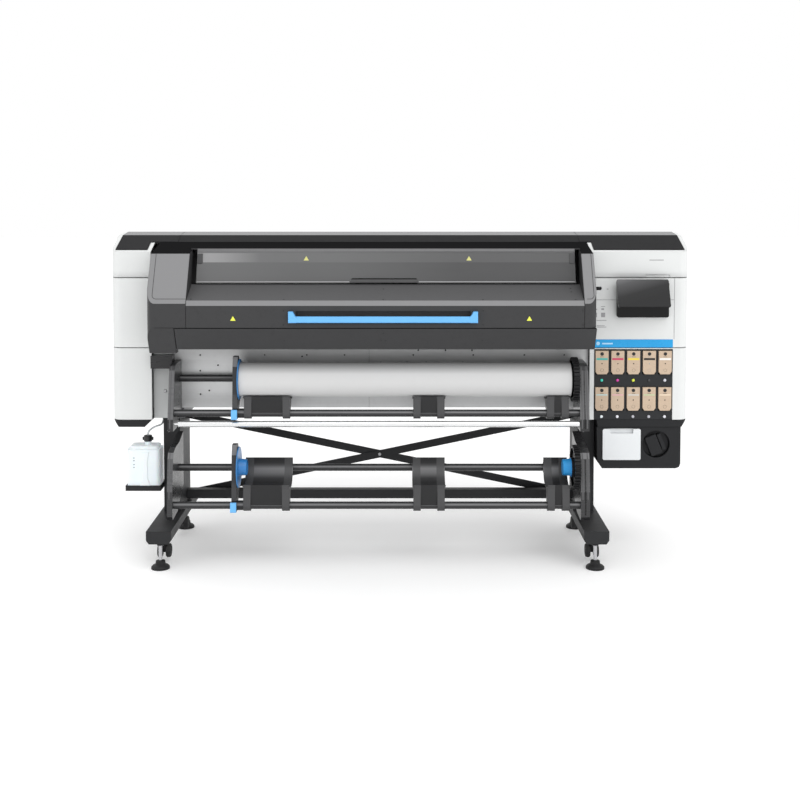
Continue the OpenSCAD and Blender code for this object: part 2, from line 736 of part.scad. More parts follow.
carriage_w = 300;
carriage_x = x_right - 40 - carriage_w;

module print_carriage() color("#2e2f31") {
  difference() {
    span(carriage_x, carriage_x + carriage_w, -60, rail_y - 1, carriage_z, carriage_z + carriage_h);
    for (i = [0:3]) span(carriage_x + 16 + i * 70, carriage_x + 74 + i * 70, -52, 30, carriage_z + 60,
      carriage_z + carriage_h + 1);
  }
  span(carriage_x + 20, carriage_x + carriage_w - 20, rail_y - 1 - eps, rail_y + 8, rail_z + 32,
      rail_z + 48);
}

module drive_roller() color("#303134") {
  cyl_x(chassis_l + 12, chassis_r - 12, [roller_y, platen_z - roller_r], roller_r);
  cyl_x(chassis_l - plate_t, chassis_r + plate_t, [roller_y, platen_z - roller_r], shaft_r);
}

// ---- Reels ----
module upper_arm(x0, x1, spindle) difference() {
  a = supply;
  union() {
    yz(x0, x1, [tension + [-20, -29], tension + [-20, 23], a + [-24, 42], a + [-8, 60],
      [a[0] + 40, a[1] + 66], [plate_y, a[1] + 66], [plate_y, chassis_z], [-260, tension[1] - 29]]);
    for (t = supply_tubes) cyl_x(x0, x1, t, clamp_r);
  }
  cyl_x(x0 - 1, x1 + 1, tension, 6 + fit);
  if (spindle) cyl_x(x0 - 1, x1 + 1, a, spindle_r + fit);
}

module lower_arm(x0, x1, spindle) difference() {
  a = takeup;
  yz(x0, x1, [[a[0] - 62, 222], [a[0] - 58, 330], [a[0] - 34, 470], [a[0] - 22, 494], [a[0] + 30, 508],
    [a[0] + 120, 512], [pillar_y, 540], [pillar_y, 300], [a[0] + 60, 214], [a[0] - 50, 206]]);
  if (spindle) cyl_x(x0 - 1, x1 + 1, a, spindle_r + fit);
}

module reel_arms() color("#2b2c2e") {
  upper_arm(arm_l0, arm_l1, false);
  lower_arm(arm_l0, arm_l1, false);
  ridge = (arm_r0 + arm_r1) / 2;
  difference() {
    union() {
      upper_arm(arm_r0, arm_r1, true);
      lower_arm(arm_r0, arm_r1, true);
    }
    yz(ridge - 3, ridge + 3, [tension + [-21, -17], tension + [-13, -17], tension + [-13, 23],
      supply + [-18, 44], supply + [-26, 44], tension + [-21, 23]]);
    yz(ridge - 3, ridge + 3, [[takeup[0] - 63, 230], [takeup[0] - 54, 230], [takeup[0] - 50, 330],
      [takeup[0] - 27, 468], [takeup[0] - 36, 468], [takeup[0] - 60, 330]]);
  }
  span(chassis_l + 2, arm_l0 - 6, plate_y - 70, plate_y, supply[1] + 35, supply[1] + 91);
}

module reel_tubes() color("#303133") for (t = concat(supply_tubes, takeup_tubes)) difference() {
  cyl_x(arm_l1, arm_r0, t, tube_r);
  cyl_x(arm_l1 - 1, arm_r0 + 1, t, tube_r - 2.5);
}

module tension_bar() color("#c4c6c8") {
  cyl_x(arm_l1 + 19, arm_r0 - 1.5, tension, tension_r);
  cyl_x(arm_l0 + 2, arm_r1 - 2, tension, 6);
}

module media_roll() color("#f2f2f2") {
  difference() {
    cyl_x(roll_x0, roll_x1, supply, roll_r);
    cyl_x(roll_x0 - 1, roll_x1 + 1, supply, core_r + core_t + gap / 6);
  }
  color("#b39a74") difference() {
    cyl_x(roll_x0, roll_x1, supply, core_r + core_t);
    cyl_x(roll_x0 - 1, roll_x1 + 1, supply, core_r);
  }
}

// Curved cradle on both tubes, x0 to x1, round the axis a
module cradle(a, tubes, x0, x1) difference() {
  union() {
    intersection() {
      cyl_x(x0, x1, a, cradle_out);
      yz(x0, x1, [[a[0] - 48, a[1] - 100], [a[0] + 100, a[1] - 100], [a[0] + 100, a[1] + 24],
          [a[0] - 48, a[1] + 24]]);
    }
    yz(x0 + 8, x1 - 8, [a + [-48, -71], a + [-40, -68], tubes[0] + [-6, 4], tubes[0] + [-16, 4]]);
    for (x = [x0 + 4, x1 - 4 - clamp_w]) {
      for (t = tubes) cyl_x(x, x + clamp_w, t, clamp_r);
      yz(x, x + clamp_w, [tubes[0] + [-clamp_r, 0], tubes[0] + [clamp_r, 0], a + [20, -80], a + [-46,
          -66]]);
      yz(x, x + clamp_w, [tubes[1] + [0, -clamp_r], tubes[1] + [6, -clamp_r], tubes[1] + [0, clamp_r],
        a + [76, 20], a + [70, -45]]);
    }
  }
  cyl_x(x0 - 1, x1 + 1, a, cradle_in);
  for (t = tubes) cyl_x(x0 - 1, x1 + 1, t, tube_r + fit);
}

module roll_cradles() color("#1d1e20") for (u = [[supply, supply_tubes], [takeup, takeup_tubes]]) {
  cradle(u[0], u[1], 54, 198);
  cradle(u[0], u[1], roll_x1 - 110, roll_x1 - 6);
}

lever_w = 26;
lever_pin = 3;
function lever_at(tubes) = tubes[0] + [-32.5, 15];

module hub(a, tubes) {
  p = lever_at(tubes);
  f = tubes[0];
  r = tubes[1];
  difference() {
    union() {
      yz(hub_x, hub_x + hub_t, [f + [-20, -24], f + [20, -24], a + [52, -82], r + [22, -22], r + [24, 20],
        a + [52, 62], a + [18, 102], a + [-18, 102], a + [-34, 60], a + [-44, -60], f + [-22, 24]]);
      for (t = tubes) cyl_x(hub_x, hub_x + hub_t, t, clamp_r);
      for (x = [hub_x, hub_x + hub_t - 4]) {
        cyl_x(x, x + 4, p, 5);
        span(x, x + 4, p[0], f[0], p[1] - 5, p[1] + 4);
      }
      cyl_x(hub_x, hub_x + hub_t, p, lever_pin);
    }
    for (t = tubes) cyl_x(hub_x - 1, hub_x + hub_t + 1, t, tube_r + fit);
    cyl_x(hub_x - 1, hub_x + hub_t + 1, a, spindle_r + fit);
  }
  cradle(a, tubes, hub_x + hub_t + 25, hub_x + hub_t + 233);
  for (t = tubes) difference() {
    cyl_x(hub_x + hub_t - eps, hub_x + hub_t + 32, t, clamp_r - 3);
    cyl_x(hub_x + hub_t - 1, hub_x + hub_t + 33, t, tube_r + fit);
  }
}

module lock_lever(tubes) {
  p = lever_at(tubes);
  cx = hub_x + hub_t / 2;
  difference() {
    union() {
      yz(cx - lever_w / 2, cx + lever_w / 2, [p + [-18, -34], p + [-14, 7], p + [-6, 7], p + [-6, -36],
          p + [-14, -36]]);
      yz(cx - hub_t / 2 + 4.4, cx + hub_t / 2 - 4.4, [p + [-7, -5], p + [-7, 5], p + [4, 5], p + [5, 0],
          p + [4, -5]]);
    }
    cyl_x(cx - hub_t, cx + hub_t, p, lever_pin + fit);
  }
}

module flange(a) {
  difference() {
    union() {
      cyl_x(flange_x - 4, flange_x, a, flange_r);
      translate([flange_x, a[0], a[1]]) rotate([0, 90, 0]) cylinder(r1 = core_r - 0.4, r2 = core_r - 4,
          h = 34);
    }
    cyl_x(flange_x + 6, flange_x + 40, a, core_r - 8);
  }
  cyl_x(hub_x, flange_x + 8, a, spindle_r);
}

module drive_disc(a) {
  n = disc_teeth;
  difference() {
    translate([disc_x, a[0], a[1]]) rotate([90, 0, 90]) linear_extrude(disc_t) polygon([for (i = [0:n - 1])
      for (k = [[-0.26, disc_r - 7], [-0.17, disc_r], [0.17, disc_r], [0.26, disc_r - 7]])
        k[1] * [cos((i + k[0]) * 360 / n), sin((i + k[0]) * 360 / n)]]);
    cyl_x(disc_x - 1, disc_x + 10, a, disc_r - 14);
  }
  cyl_x(disc_x, arm_r1, a, spindle_r);
  translate([roll_x1 - 36, a[0], a[1]]) rotate([0, 90, 0]) cylinder(r1 = core_r - 4, r2 = core_r - 0.4,
      h = 36);
  cyl_x(roll_x1, disc_x + 10 + eps, a, core_r + 4);
}

module supply_hub() color("#1e1f21") hub(supply, supply_tubes);
module takeup_hub() color("#1e1f21") hub(takeup, takeup_tubes);
module supply_flange() color("#2a7fc9") flange(supply);
module takeup_flange() color("#2a7fc9") flange(takeup);
module supply_drive_disc() color("#232427") drive_disc(supply);
module takeup_drive_disc() color("#232427") drive_disc(takeup);
module supply_lock_lever() color("#3a93de") lock_lever(supply_tubes);
module takeup_lock_lever() color("#3a93de") lock_lever(takeup_tubes);

// ---- Waste bottle ----
module waste_bottle() {
  x0 = bottle_x - bottle_w / 2;
  y0 = bottle_y - bottle_d / 2;
  color("#dfe6e9") difference() {
    union() {
      round_box(x0, x0 + bottle_w, y0, y0 + bottle_d, bottle_z, bottle_z + bottle_h, 18);
      round_box(x0 + 14, x0 + bottle_w - 10, y0 + 12, y0 + bottle_d - 12, bottle_z + bottle_h - 1,
        bottle_z + bottle_h + 14, 14);
      cyl_z(neck_x, bottle_y, bottle_z + bottle_h, 499, 15);
    }
    round_box(x0 + 3, x0 + bottle_w - 3, y0 + 3, y0 + bottle_d - 3, bottle_z + 3,
        bottle_z + bottle_h - 3, 15);
    cyl_z(neck_x, bottle_y, bottle_z + bottle_h - 4, 500, 12);
  }
  color("#18181a") {
    cyl_z(neck_x, bottle_y, 499.3, 525, 18);
    span(neck_x - 24, neck_x + 24, bottle_y - 4, bottle_y + 4, 504, 518);
  }
}

hose_sides = 8;
function tangent(i) = unit(hose_path[min(i + 1, len(hose_path) - 1)] - hose_path[max(i - 1, 0)]);
function side_of(i) = unit(cross(tangent(i), [0.3, -1, 0]));
function hose_point(i, a) = hose_path[i] + hose_r * (cos(a) * side_of(i) + sin(a) * cross(tangent(i),
    side_of(i)));

module drain_hose() color("#e6eef0") {
  n = hose_sides;
  m = len(hose_path);
  polyhedron([for (i = [0:m - 1]) for (k = [0:n - 1]) hose_point(i, k * 360 / n)],
    concat([[for (k = [0:n - 1]) k]], [[for (k = [n - 1:-1:0]) (m - 1) * n + k]],
      [for (i = [0:m - 2]) for (k = [0:n - 1]) [i * n + k, (i + 1) * n + k, (i + 1) * n + (k + 1) % n,
        i * n + (k + 1) % n]]));
}

base_beams();
stand_frame();
stand_bolts();
levelling_feet();
caster_fork(beam_xs[0], caster_ys[0]);  // caster_fork_front_left
caster_fork(beam_xs[1], caster_ys[0]);  // caster_fork_front_right
caster_fork(beam_xs[0], caster_ys[1]);  // caster_fork_rear_left
caster_fork(beam_xs[1], caster_ys[1]);  // caster_fork_rear_right
caster_wheel(beam_xs[0], caster_ys[0]);  // caster_wheel_front_left
caster_wheel(beam_xs[1], caster_ys[0]);  // caster_wheel_front_right
caster_wheel(beam_xs[0], caster_ys[1]);  // caster_wheel_rear_left
caster_wheel(beam_xs[1], caster_ys[1]);  // caster_wheel_rear_right
chassis();
front_plates();
upper_shells();
side_covers();
top_covers();
base_trays();
ink_bay();
cartridge(0);  // cartridge_1
cartridge(1);  // cartridge_2
cartridge(2);  // cartridge_3
cartridge(3);  // cartridge_4
cartridge(4);  // cartridge_5
cartridge(5);  // cartridge_6
cartridge(6);  // cartridge_7
cartridge(7);  // cartridge_8
cartridge(8);  // cartridge_9
cartridge(9);  // cartridge_10
screen_bracket();
touch_screen();
power_button();
service_box();
waste_drawer();
rotary_chamber();
hood_frame();
hood_band();
hood_window();
hood_handle();
lower_fascia();
rear_cover();
fan_panel();
carriage_rail();
print_carriage();
drive_roller();
reel_arms();
reel_tubes();
tension_bar();
media_roll();
supply_hub();
supply_flange();
supply_drive_disc();
supply_lock_lever();
takeup_hub();
takeup_flange();
takeup_drive_disc();
takeup_lock_lever();
roll_cradles();
waste_bottle();
drain_hose();
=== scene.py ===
import json
import math

import bmesh
import bpy
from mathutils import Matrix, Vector


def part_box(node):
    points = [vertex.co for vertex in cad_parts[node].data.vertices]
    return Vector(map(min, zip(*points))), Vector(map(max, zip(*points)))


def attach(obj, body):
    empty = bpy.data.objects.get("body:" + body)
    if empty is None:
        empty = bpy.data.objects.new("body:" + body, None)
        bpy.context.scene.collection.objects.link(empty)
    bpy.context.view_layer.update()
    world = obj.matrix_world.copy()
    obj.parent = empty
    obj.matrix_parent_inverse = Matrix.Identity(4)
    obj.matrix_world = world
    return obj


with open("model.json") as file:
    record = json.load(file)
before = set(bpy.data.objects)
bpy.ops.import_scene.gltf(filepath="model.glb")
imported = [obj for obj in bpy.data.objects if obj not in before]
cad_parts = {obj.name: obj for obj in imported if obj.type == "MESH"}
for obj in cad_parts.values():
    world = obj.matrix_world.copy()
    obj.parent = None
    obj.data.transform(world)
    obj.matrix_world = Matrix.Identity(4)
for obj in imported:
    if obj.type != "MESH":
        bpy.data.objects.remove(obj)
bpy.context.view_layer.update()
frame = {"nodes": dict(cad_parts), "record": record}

nodes = frame["nodes"]
scene = bpy.context.scene
# How far print, screw heads and stickers reach below and above the face they lie on, in metres
PRINT = (-0.0001, 0.0004)
DOT = (-0.0002, 0.0007)
STICKER = (-0.0002, 0.0005)
slot_of = {s["node"]: s["material_slot"] for s in frame["record"]["subparts"]}


# ---------------------------------------------------------------- materials
class Tree:
    """A material's node tree, with short calls to add and join nodes."""

    def __init__(self, name):
        self.mat = bpy.data.materials.new(name)
        self.mat.use_nodes = True
        self.n = self.mat.node_tree.nodes
        self.l = self.mat.node_tree.links
        self.n.clear()
        self.out = self.n.new("ShaderNodeOutputMaterial")
        self.bsdf = self.n.new("ShaderNodeBsdfPrincipled")
        self.l.new(self.bsdf.outputs[0], self.out.inputs[0])
        self.co = self.n.new("ShaderNodeTexCoord").outputs["Object"]

    def add(self, kind, inputs=None, **props):
        node = self.n.new(kind)
        for k, v in props.items():
            setattr(node, k, v)
        for k, v in (inputs or {}).items():
            self.put(node.inputs[k], v)
        return node

    def put(self, socket, value):
        if isinstance(value, bpy.types.NodeSocket):
            self.l.new(value, socket)
        else:
            socket.default_value = value

    def math(self, op, a, b=0.0):
        return self.add("ShaderNodeMath", {0: a, 1: b}, operation=op).outputs[0]

    def stretched(self, scale):
        return self.add("ShaderNodeMapping", {"Vector": self.co, "Scale": scale}).outputs[0]

    def noise(self, scale, detail=3.0, rough=0.55, vector=None):
        return self.add("ShaderNodeTexNoise", {"Vector": vector or self.co, "Scale": scale, "Detail": detail,
                                               "Roughness": rough}).outputs["Fac"]

    def ramp(self, value, stops):
        node = self.add("ShaderNodeValToRGB", {"Fac": value})
        el = node.color_ramp.elements
        while len(el) < len(stops):
            el.new(0.5)
        for e, (p, c) in zip(el, stops):
            e.position = p
            e.color = c if isinstance(c, tuple) else (c, c, c, 1)
        return node.outputs[0]

    def spread(self, value, low, high):
        return self.add("ShaderNodeMapRange", {"Value": value, "To Min": low, "To Max": high}).outputs[0]

    def mix(self, fac, a, b, blend="MIX"):
        node = self.add("ShaderNodeMix", data_type="RGBA", blend_type=blend)
        self.put(node.inputs[0], fac)
        self.put(node.inputs[6], a)
        self.put(node.inputs[7], b)
        return node.outputs[2]

    def axis(self, i):
        return self.add("ShaderNodeSeparateXYZ", {0: self.co}).outputs[i]

    def above(self, i, limit):
        return self.math("GREATER_THAN", self.axis(i), limit)

    def below(self, i, limit):
        return self.math("LESS_THAN", self.axis(i), limit)


def rgba(c, k=1.0):
    return (c[0] * k, c[1] * k, c[2] * k, 1.0)


def surface(name, color, rough=0.45, metal=0.0, grain=900.0, bump=0.05, mottle=0.08, spread=0.1, edge=0.0015,
            coat=0.0, brushed=None, dust=0.03, extra=None, **sockets):
    """A dielectric or metal with grain, mottling, dust and uneven gloss, and edges that catch the light."""
    t = Tree(name)
    fine = t.noise(grain, 4.0, 0.6)
    broad = t.noise(3.5, 5.0, 0.6)
    marks = t.noise(38.0, 6.0, 0.7)
    base = t.mix(t.spread(broad, 0.0, 1.0), rgba(color, 1 - mottle), rgba(color, 1 + mottle))
    base = t.mix(t.ramp(marks, [(0.52, 0.0), (0.78, 1.0)]), base, rgba(color, 1 - 1.6 * mottle))
    up = t.math("MAXIMUM", t.add("ShaderNodeSeparateXYZ",
                                 {0: t.add("ShaderNodeNewGeometry").outputs["Normal"]}).outputs[2], 0.0)
    base = t.mix(t.math("MULTIPLY", t.math("MULTIPLY", up, broad), dust), base, (0.62, 0.61, 0.59, 1))
    gloss = t.math("ADD", t.spread(broad, rough - spread, rough + spread), t.spread(marks, -spread / 2,
            spread / 2))
    height = fine
    if brushed:
        lines = t.noise(1.0, 3.0, 0.6, t.stretched(brushed))
        gloss = t.math("ADD", gloss, t.spread(lines, -0.12, 0.12))
        base = t.mix(t.spread(lines, 0.0, 0.35), base, rgba(color, 0.72))
        height = t.math("ADD", t.math("MULTIPLY", lines, 1.4), t.math("MULTIPLY", fine, 0.3))
    if extra:
        base, gloss = extra(t, base, gloss)
    t.put(t.bsdf.inputs["Base Color"], base)
    t.put(t.bsdf.inputs["Roughness"], gloss)
    t.bsdf.inputs["Metallic"].default_value = metal
    t.bsdf.inputs["Coat Weight"].default_value = coat
    t.bsdf.inputs["Coat Roughness"].default_value = 0.12
    for k, v in sockets.items():
        t.bsdf.inputs[k.replace("_", " ")].default_value = v
    normal = t.add("ShaderNodeBevel", {"Radius": edge}, samples=3).outputs[0] if edge else None
    b = t.add("ShaderNodeBump", {"Strength": bump, "Distance": 0.0006, "Height": height})
    if normal:
        t.put(b.inputs["Normal"], normal)
    t.put(t.bsdf.inputs["Normal"], b.outputs[0])
    return t.mat


def face_up(t):
    return t.add("ShaderNodeSeparateXYZ", {0: t.add("ShaderNodeNewGeometry").outputs["Normal"]}).outputs[2]


def between(t, i, low, high):
    return t.math("MULTIPLY", t.above(i, low), t.below(i, high))


def banner(t, base, gloss):
    """The strip above the ink bay is blue, with a slow change of tone."""
    on = t.above(2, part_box("cartridge_1")[1].z + 0.012)
    blue = t.mix(t.noise(9.0), (0.022, 0.31, 0.66, 1), (0.03, 0.36, 0.72, 1))
    return t.mix(on, base, blue), t.math("MULTIPLY", gloss, t.spread(on, 1.0, 0.6))


def steel_rod(t, base, gloss):
    """The levelling foot's rod is bright above the pad."""
    on = between(t, 2, 0.038, 0.1025)
    thread = t.add("ShaderNodeTexWave", {"Vector": t.co, "Scale": 170.0, "Distortion": 0.3},
                   bands_direction="Z").outputs["Fac"]
    steel = t.mix(thread, (0.32, 0.32, 0.33, 1), (0.68, 0.68, 0.7, 1))
    t.put(t.bsdf.inputs["Metallic"], t.math("MULTIPLY", on, 0.95))
    return t.mix(on, base, steel), t.mix(on, gloss, (0.3, 0.3, 0.3, 1))


def blue_nose(t, base, gloss):
    """The drive disc's nose is blue, the rest black."""
    on = t.below(0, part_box("media_roll")[1].x + 0.0001)
    return t.mix(on, base, t.mix(t.noise(30.0), (0.02, 0.22, 0.55, 1), (0.04, 0.33, 0.7, 1))), gloss


def roll_ends(t, base, gloss):
    """Fine layers show on the roll's ends, and the core is brown board."""
    low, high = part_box("media_roll")
    mid = (low + high) / 2
    yz = t.add("ShaderNodeSeparateXYZ", {0: t.co})
    dy = t.math("SUBTRACT", yz.outputs[1], mid.y)
    dz = t.math("SUBTRACT", yz.outputs[2], mid.z)
    r = t.math("SQRT", t.math("ADD", t.math("MULTIPLY", dy, dy), t.math("MULTIPLY", dz, dz)))
    layers = t.math("SINE", t.math("MULTIPLY", r, 9000.0))
    normal = t.add("ShaderNodeSeparateXYZ", {0: t.add("ShaderNodeNewGeometry").outputs["Normal"]}).outputs[0]
    side = t.math("GREATER_THAN", t.math("ABSOLUTE", normal), 0.5)
    base = t.mix(t.math("MULTIPLY", side, t.spread(layers, 0.0, 0.12)), base, (0.45, 0.44, 0.42, 1))
    core = t.math("LESS_THAN", r, 0.0422)
    return t.mix(core, base, t.mix(t.noise(60.0), (0.32, 0.22, 0.13, 1), (0.45, 0.33, 0.2, 1))), gloss


def hood_painted_light(t, base, gloss):
    """Painted light and shade: faces that lean back towards the studio light are painted paler, as light
    falls on a satin moulding, and near-flat tops are painted near-black with less specular.
    """
    up = face_up(t)
    lift = t.ramp(up, [(0.0, 0.0), (0.25, 0.0), (0.32, 1.0), (0.62, 1.0), (0.72, 0.85), (0.85, 0.3), (0.93,
            0.2), (0.97, 0.0)])
    base = t.mix(lift, base, (0.225, 0.225, 0.23, 1))
    deck = t.ramp(up, [(0.0, 0.0), (0.955, 0.0), (0.975, 1.0)])
    t.put(t.bsdf.inputs["Specular IOR Level"], t.spread(deck, 0.22, 0.0))
    return t.mix(deck, base, (0.012, 0.012, 0.0125, 1)), gloss


def shade_with_height(low, high, dark):
    """Painted shade: the base colour falls to `dark` of itself between two heights."""
    def add(t, base, gloss):
        fac = t.add("ShaderNodeMapRange", {"Value": t.axis(2), "From Min": low, "From Max": high}).outputs[0]
        return t.mix(fac, t.mix(1.0, base, (dark, dark, dark, 1), "MULTIPLY"), base), gloss
    return add


def sheen(t, base, gloss):
    """A painted reflection: a soft diagonal band of light across the dark glass."""
    low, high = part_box("touch_screen")
    p = t.add("ShaderNodeSeparateXYZ", {0: t.co})
    u = t.add("ShaderNodeMapRange", {"Value": p.outputs[0], "From Min": low.x, "From Max": high.x}).outputs[0]
    v = t.add("ShaderNodeMapRange", {"Value": p.outputs[2], "From Min": low.z, "From Max": high.z}).outputs[0]
    band = t.math("ADD", t.math("MULTIPLY", u, -0.55), t.math("MULTIPLY", v, 1.05))
    return t.mix(t.ramp(band, [(0.0, 0.0), (0.35, 0.04), (0.8, 0.5), (1.0, 1.0)]), base, (0.13, 0.13, 0.135,
            1)), gloss


def painted_side_highlight(t, base, gloss):
    """Painted highlight: rounded black parts get a soft grey band in their base colour where they lean back a
    little.
    """
    band = t.ramp(face_up(t), [(0.0, 0.1), (0.12, 0.3), (0.3, 1.0), (0.5, 0.75), (0.75, 0.2), (1.0, 0.1)])
    return t.mix(band, base, (0.17, 0.17, 0.175, 1)), gloss


def clamp_tones(node):
    """The painted side highlight goes on first; then the clamp bands that grip the tubes are paler grey, and
    the webs between them stay black.
    """
    low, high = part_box(node)
    clamp, wide, narrow, hub = 0.032, 0.144, 0.104, (0.047, 0.255)
    if node == "roll_cradles":
        ends = [(low.x, low.x + wide), (high.x - narrow, high.x)]
    else:
        ends = [(low.x + hub[0], low.x + hub[1])]
    starts = [x for a, b in ends for x in (a + 0.004, b - 0.004 - clamp)]

    def add(t, base, gloss):
        base, gloss = painted_side_highlight(t, base, gloss)
        on = 0.0
        for x in starts:
            on = t.math("ADD", on, between(t, 0, x - 0.0005, x + clamp + 0.0005))
        return t.mix(t.math("MULTIPLY", on, 0.8), base, (0.07, 0.07, 0.072, 1)), gloss
    return add


def roll_shade(t, base, gloss):
    base, gloss = roll_ends(t, base, gloss)
    # Painted shadow: up-facing faces of the roll are darkened, where the hood above shades its top.
    dark = t.ramp(face_up(t), [(0.0, 0.0), (0.45, 0.05), (0.75, 0.6), (1.0, 1.0)])
    return t.mix(dark, base, (0.26, 0.26, 0.26, 1)), gloss


def shell_lip_shade(t, base, gloss):
    """Painted shade: the upper shells turn in towards their lower edge, so their base colour is darkened
    there.
    """
    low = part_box("upper_shells")[0].z
    fac = t.add("ShaderNodeMapRange", {"Value": t.axis(2), "From Min": low,
                                       "From Max": low + 0.03}).outputs[0]
    return t.mix(fac, t.mix(0.28, base, (0.3, 0.3, 0.31, 1)), base), gloss


def crest(t, base, gloss):
    """Painted highlight: the flat top of the covers is painted pale as if catching the light, the slope in
    front of it stays dark.
    """
    fac = t.ramp(face_up(t), [(0.0, 0.0), (0.985, 0.0), (0.993, 1.0)])
    return t.mix(fac, base, (0.3, 0.3, 0.305, 1)), gloss


def carton_print(t, base, gloss):
    """Unbleached board with short fibres."""
    fibres = t.noise(1.0, 4.0, 0.6, t.stretched((90, 90, 900)))
    return t.mix(t.ramp(fibres, [(0.55, 0.0), (0.75, 1.0)]), base, (0.42, 0.3, 0.2, 1)), gloss


def black_cap_and_glow(t, base, gloss):
    """The bottle is milky, its cap black; the milky part is also given a faint emission, a painted glow that
    lightens it.
    """
    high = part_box("waste_bottle")[1].z
    on = t.above(2, high - 0.026)
    milky = t.math("SUBTRACT", 1.0, on)
    t.put(t.bsdf.inputs["Transmission Weight"], t.math("MULTIPLY", milky, 0.25))
    # Painted glow: faint emission lightens the milky part of the bottle.
    t.put(t.bsdf.inputs["Emission Strength"], t.math("MULTIPLY", milky, 0.14))
    return t.mix(on, base, (0.012, 0.012, 0.013, 1)), gloss


DULL = dict(Specular_IOR_Level=0.22)
MATS = {
    "graphite_steel": surface("graphite_steel", (0.022, 0.0225, 0.024), 0.5, grain=1500, bump=0.25,
                              edge=0.002, dust=0.015, **DULL),
    "bolt_steel": surface("bolt_steel", (0.36, 0.36, 0.37), 0.35, 1.0, bump=0.05),
    "foot_black": surface("foot_black", (0.014, 0.014, 0.015), 0.5, edge=0.002, extra=steel_rod, **DULL),
    "caster_black": surface("caster_black", (0.014, 0.014, 0.015), 0.5, bump=0.12, **DULL),
    "wheel_rubber": surface("wheel_rubber", (0.022, 0.022, 0.023), 0.7, bump=0.3, dust=0.12, **DULL),
    "chassis_steel": surface("chassis_steel", (0.10, 0.102, 0.105), 0.45, 0.5, brushed=(3, 3, 260)),
    "plate_steel": surface("plate_steel", (0.66, 0.665, 0.67), 0.42, 0.85, brushed=(2.5, 40, 420),
                           mottle=0.05, edge=0.001,
                           # painted shade: the plates darken towards their top, under the hood
                           extra=shade_with_height(0.95, 0.78, 0.62)),
    "white_cover": surface("white_cover", (0.70, 0.712, 0.708), 0.46, grain=1400, bump=0.12, mottle=0.012,
                           edge=0.004,
                           spread=0.05, dust=0.0, Specular_IOR_Level=0.35),
    "dark_cover": surface("dark_cover", (0.024, 0.024, 0.025), 0.55, grain=1300, bump=0.22, edge=0.004,
                          dust=0.0, extra=crest, Specular_IOR_Level=0.03),
    "tray_black": surface("tray_black", (0.014, 0.0145, 0.016), 0.45, grain=1300, bump=0.2, edge=0.004,
                          dust=0.01, **DULL),
    "bay_grey": surface("bay_grey", (0.022, 0.023, 0.025), 0.45, bump=0.15, extra=banner, **DULL),
    "carton": surface("carton", (0.56, 0.43, 0.315), 0.65, bump=0.2, mottle=0.05, extra=carton_print,
                      dust=0.0),
    "screen_black": surface("screen_black", (0.004, 0.004, 0.0045), 0.24, bump=0.01, edge=0.003,
                            spread=0.03, dust=0.0, **DULL),
    "drawer_white": surface("drawer_white", (0.74, 0.76, 0.775), 0.42, bump=0.1, mottle=0.015, edge=0.004,
                            dust=0.0),
    "hood_grey": surface("hood_grey", (0.042, 0.042, 0.0435), 0.46, grain=1300, bump=0.16, edge=0.005,
                         spread=0.05, dust=0.0,
                         extra=hood_painted_light, **DULL),
    "blue_grip": surface("blue_grip", (0.13, 0.44, 0.84), 0.32, bump=0.05, edge=0.004, coat=0.2,
                         mottle=0.05, dust=0.0),
    "fan_grey": surface("fan_grey", (0.13, 0.132, 0.135), 0.5, bump=0.1, **DULL),
    "rail_alu": surface("rail_alu", (0.42, 0.43, 0.44), 0.35, 1.0, brushed=(2, 300, 300)),
    "roller_rubber": surface("roller_rubber", (0.02, 0.02, 0.021), 0.6, bump=0.2, **DULL),
    "tube_black": surface("tube_black", (0.009, 0.009, 0.010), 0.3, bump=0.06, brushed=(4, 60, 60),
                          mottle=0.1, dust=0.004, extra=painted_side_highlight, Specular_IOR_Level=0.35),
    "bar_silver": surface("bar_silver", (0.80, 0.805, 0.81), 0.26, 0.85, brushed=(3, 160, 160), mottle=0.03),
    "media_white": surface("media_white", (0.56, 0.56, 0.56), 0.55, grain=500, bump=0.06, mottle=0.012,
                           dust=0.0, edge=0.001,
                           extra=roll_shade),
    "hub_black": surface("hub_black", (0.010, 0.010, 0.011), 0.4, grain=1100, bump=0.15, edge=0.003,
                         dust=0.006, extra=painted_side_highlight, **DULL),
    "flange_blue": surface("flange_blue", (0.03, 0.2, 0.5), 0.36, bump=0.08, edge=0.002, mottle=0.1,
                           dust=0.0),
    "bottle_clear": surface("bottle_clear", (0.84, 0.87, 0.885), 0.35, bump=0.08, mottle=0.03, edge=0.006,
                            dust=0.0,
                            # emission colour of the painted glow on the milky bottle
                            extra=black_cap_and_glow, Subsurface_Weight=0.15, Emission_Color=(0.9, 0.96, 1.0, 1.0)),
    "hose_clear": surface("hose_clear", (0.66, 0.7, 0.72), 0.25, bump=0.03, edge=0.0,
                          Transmission_Weight=0.4),
}
disc_mat = surface("drive_disc", (0.010, 0.010, 0.011), 0.4, grain=1100, bump=0.15, edge=0.002, dust=0.006,
                   extra=blue_nose, **DULL)
display_mat = surface("display", (0.004, 0.004, 0.0045), 0.2, bump=0.01, edge=0.003, spread=0.03, dust=0.0,
                      extra=sheen, **DULL)
shell_mat = surface("upper_white", (0.70, 0.712, 0.708), 0.46, grain=1400, bump=0.12, mottle=0.012,
                    edge=0.005, spread=0.05,
                    dust=0.0, extra=shell_lip_shade, Specular_IOR_Level=0.35)
clamped = {node: surface(node + "_black", (0.005, 0.005, 0.0055), 0.4, grain=1100, bump=0.15, edge=0.003,
                         dust=0.006,
                         extra=clamp_tones(node), **DULL) for node in ("roll_cradles", "supply_hub",
                                                                       "takeup_hub")}
OWN = {**clamped, "upper_shells": shell_mat, "supply_drive_disc": disc_mat, "takeup_drive_disc": disc_mat,
       "touch_screen": display_mat}


